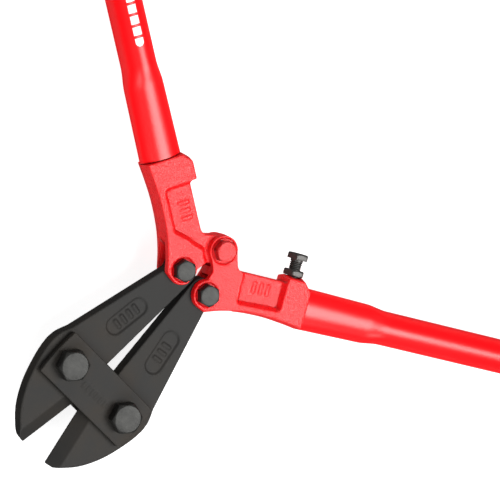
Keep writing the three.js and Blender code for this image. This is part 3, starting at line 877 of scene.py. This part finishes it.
def make_pivot(name, spec, finish, washer_finish, turn, split):
    """One pivot's bolt, washer and nut, from its three nodes."""
    flats, head, radius, pitch = spec
    low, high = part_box(f"{name}_bolt")
    seat = Vector((*middle(f"{name}_bolt").xy, high.z - head))
    shank = seat.z - low.z
    nut_low, nut_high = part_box(f"{name}_nut")
    threaded = nut_high.z - low.z + 3 * MM
    make_bolt(f"{name}_bolt", finish, flats, head, radius, pitch,
              place_along(UP, seat, turn), shank, threaded)
    foot = Vector((*seat.xy, nut_low.z))
    make_nut(f"{name}_nut", finish, flats, radius, place_along(UP, foot, turn),
             nut_high.z - nut_low.z)
    make_washer(f"{name}_washer", washer_finish, split)


class CUTTERS_OT_pivots(bpy.types.Operator):
    """Make the five pivots' bolts, spring washers and nuts"""
    bl_idname = "cutters.pivots"
    bl_label = "Pivots"

    def execute(self, context):
        sizes = context.scene.cutters_fasteners
        look = context.scene.cutters_finishes
        steel = bolt_steel(look)
        washer = black_steel(look, "washer steel", "washer_steel")
        tie = (sizes.tie_flats, sizes.tie_head, sizes.tie_radius, sizes.tie_pitch)
        small = (sizes.jaw_flats, sizes.jaw_head, sizes.jaw_radius, sizes.jaw_pitch)
        for side in SIDES:
            make_pivot(f"{side}_tie", tie, steel, washer, sizes.tie_turn, sizes.split)
            make_pivot(f"{side}_jaw", small, steel, washer, sizes.jaw_turn, sizes.split)
        paint = yoke_paint(look)
        make_pivot("centre", small, paint, paint, sizes.centre_turn, sizes.split)
        return {"FINISHED"}


class CUTTERS_OT_stop(bpy.types.Operator):
    """Make the black stop bolt and its lock nut"""
    bl_idname = "cutters.stop"
    bl_label = "Stop Bolt"

    def execute(self, context):
        sizes = context.scene.cutters_fasteners
        black = black_steel(context.scene.cutters_finishes, "stop steel", "stop_steel")
        place = handle_place("right")
        low, high = local_box("stop_bolt", place)
        axis_at = Vector(((low.x + high.x) / 2, high.y - sizes.stop_head, 0))
        shank = high.y - low.y - sizes.stop_head
        make_bolt("stop_bolt", black, sizes.jaw_flats, sizes.stop_head, sizes.jaw_radius,
                  sizes.jaw_pitch, place_along(ACROSS, place @ axis_at, radians(30)),
                  shank, shank - 2 * MM)
        nut_low, nut_high = local_box("stop_nut", place)
        nut_at = Vector((axis_at.x, nut_low.y, 0))
        make_nut("stop_nut", black, sizes.jaw_flats, sizes.jaw_radius,
                 place_along(ACROSS, place @ nut_at, radians(30)), nut_high.y - nut_low.y)
        return {"FINISHED"}


# ---------------------------------------------------------------- stage

class CuttersStage(bpy.types.PropertyGroup):
    aim: FloatVectorProperty(
        name="Aim", description="From the centre bolt to the middle of the view",
        default=(0.0172, 0.0285, 0.0), size=3, subtype="TRANSLATION", unit="LENGTH")
    tilt: angle_property("Tilt", "Camera's lean away from straight above", 26.4)
    azimuth: angle_property("Azimuth", "Which way the camera leans", 204.8)
    roll: angle_property("Roll", "Which way is up in the view", 136.7)
    distance: length_property("Distance", "Camera to the middle of the view", 2470)
    lens: FloatProperty(name="Lens", description="Focal length in mm", default=188.8, min=1)
    key: FloatProperty(name="Key light", description="Watts", default=56, min=0)
    fill: FloatProperty(name="Fill light", description="Watts", default=45, min=0)
    back: FloatProperty(name="Back light", description="Watts", default=16, min=0)
    front: FloatProperty(name="Front light", description="Watts", default=14, min=0)
    world: FloatProperty(name="Surroundings", description="Brightness", default=0.05, min=0)


# A softbox's power is the stage's value of its name.
# Name, lean from overhead and azimuth in degrees, distance and width in metres.
SOFTBOXES = (
    ("fill", 50, 300, 2.4, 1.7),
    ("back", 55, 120, 2.6, 1.2),
    ("front", 34, 195, 2.6, 1.0),
)
KEY_DISTANCE = 2.3
KEY_SIZE = 1.2
FLOOR_HALF = 8


def leaning(tilt, azimuth):
    return Vector((sin(tilt) * cos(azimuth), sin(tilt) * sin(azimuth), cos(tilt)))


def add_camera(stage):
    target = CENTRE + Vector(stage.aim)
    back = leaning(stage.tilt, stage.azimuth)
    up = Vector((cos(stage.roll), sin(stage.roll), 0))
    right = up.cross(back).normalized()
    turn = Matrix((right, back.cross(right), back)).transposed().to_4x4()
    data = bpy.data.cameras.new("camera")
    data.lens = stage.lens
    data.sensor_width = 36
    data.clip_end = 50
    camera = bpy.data.objects.new("camera", data)
    camera.matrix_world = Matrix.Translation(target + back * stage.distance) @ turn
    bpy.context.scene.collection.objects.link(camera)
    bpy.context.scene.camera = camera


def add_softbox(name, direction, distance, size, power):
    data = bpy.data.lights.new(name, "AREA")
    data.shape = "SQUARE"
    data.size = size
    data.energy = power
    light = bpy.data.objects.new(name, data)
    light.matrix_world = place_along(direction, CENTRE + direction * distance)
    bpy.context.scene.collection.objects.link(light)


def floor_material():
    """Near-white paper with a glow of its own, so that it holds only faint shadows."""
    material = bpy.data.materials.new("floor paper")
    material.use_nodes = True
    shader = material.node_tree.nodes["Principled BSDF"]
    shader.inputs["Base Color"].default_value = (0.4, 0.4, 0.4, 1)
    shader.inputs["Roughness"].default_value = 0.9
    shader.inputs["Specular IOR Level"].default_value = 0.1
    shader.inputs["Emission Color"].default_value = (1, 1, 1, 1)
    shader.inputs["Emission Strength"].default_value = 0.85
    return material


class CUTTERS_OT_stage(bpy.types.Operator):
    """Lay a pale floor and set the camera and soft lights"""
    bl_idname = "cutters.stage"
    bl_label = "Stage"

    def execute(self, context):
        stage = context.scene.cutters_stage
        add_camera(stage)
        bm = bmesh.new()
        bmesh.ops.create_grid(bm, x_segments=1, y_segments=1, size=FLOOR_HALF)
        mesh = bpy.data.meshes.new("floor")
        bm.to_mesh(mesh)
        bm.free()
        mesh.materials.append(floor_material())
        floor = bpy.data.objects.new("floor", mesh)
        floor.visible_glossy = False  # its sheen would wash out the painted side walls
        context.scene.collection.objects.link(floor)
        mirrored = leaning(stage.tilt, stage.azimuth + pi)
        add_softbox("key", mirrored, KEY_DISTANCE, KEY_SIZE, stage.key)
        for name, tilt, azimuth, distance, size in SOFTBOXES:
            direction = leaning(radians(tilt), radians(azimuth))
            add_softbox(name, direction, distance, size, getattr(stage, name))
        world = bpy.data.worlds.new("surroundings")
        world.use_nodes = True
        background = world.node_tree.nodes["Background"]
        background.inputs["Color"].default_value = (1, 1, 1, 1)
        background.inputs["Strength"].default_value = stage.world
        context.scene.world = world
        context.scene.view_settings.view_transform = "Standard"
        return {"FINISHED"}


# ---------------------------------------------------------------- add-on

OPERATORS = (
    CUTTERS_OT_yokes, CUTTERS_OT_jaws, CUTTERS_OT_tie_plates, CUTTERS_OT_tubes,
    CUTTERS_OT_grips, CUTTERS_OT_pivots, CUTTERS_OT_stop, CUTTERS_OT_stage,
)
GROUPS = {
    "cutters_finishes": CuttersFinishes,
    "cutters_forgings": CuttersForgings,
    "cutters_stripe": CuttersStripe,
    "cutters_handles": CuttersHandles,
    "cutters_fasteners": CuttersFasteners,
    "cutters_stage": CuttersStage,
}


class CUTTERS_PT_panel(bpy.types.Panel):
    """The bolt cutters' pieces and sizes"""
    bl_idname = "CUTTERS_PT_panel"
    bl_label = "Bolt Cutters"
    bl_space_type = "VIEW_3D"
    bl_region_type = "UI"
    bl_category = "Bolt Cutters"

    def draw(self, context):
        for operator in OPERATORS:
            self.layout.operator(operator.bl_idname)
        for name, group in GROUPS.items():
            box = self.layout.box()
            for field in group.__annotations__:
                box.prop(getattr(context.scene, name), field)


def register():
    for group in GROUPS.values():
        bpy.utils.register_class(group)
    for name, group in GROUPS.items():
        setattr(bpy.types.Scene, name, PointerProperty(type=group))
    for operator in OPERATORS:
        bpy.utils.register_class(operator)
    bpy.utils.register_class(CUTTERS_PT_panel)


def unregister():
    bpy.utils.unregister_class(CUTTERS_PT_panel)
    for operator in reversed(OPERATORS):
        bpy.utils.unregister_class(operator)
    for name, group in GROUPS.items():
        delattr(bpy.types.Scene, name)
        bpy.utils.unregister_class(group)


def main():
    register()
    bpy.ops.cutters.yokes()
    bpy.ops.cutters.jaws()
    bpy.ops.cutters.tie_plates()
    bpy.ops.cutters.tubes()
    bpy.ops.cutters.grips()
    bpy.ops.cutters.pivots()
    bpy.ops.cutters.stop()
    bpy.ops.cutters.stage()


if __name__ == "__main__":
    main()
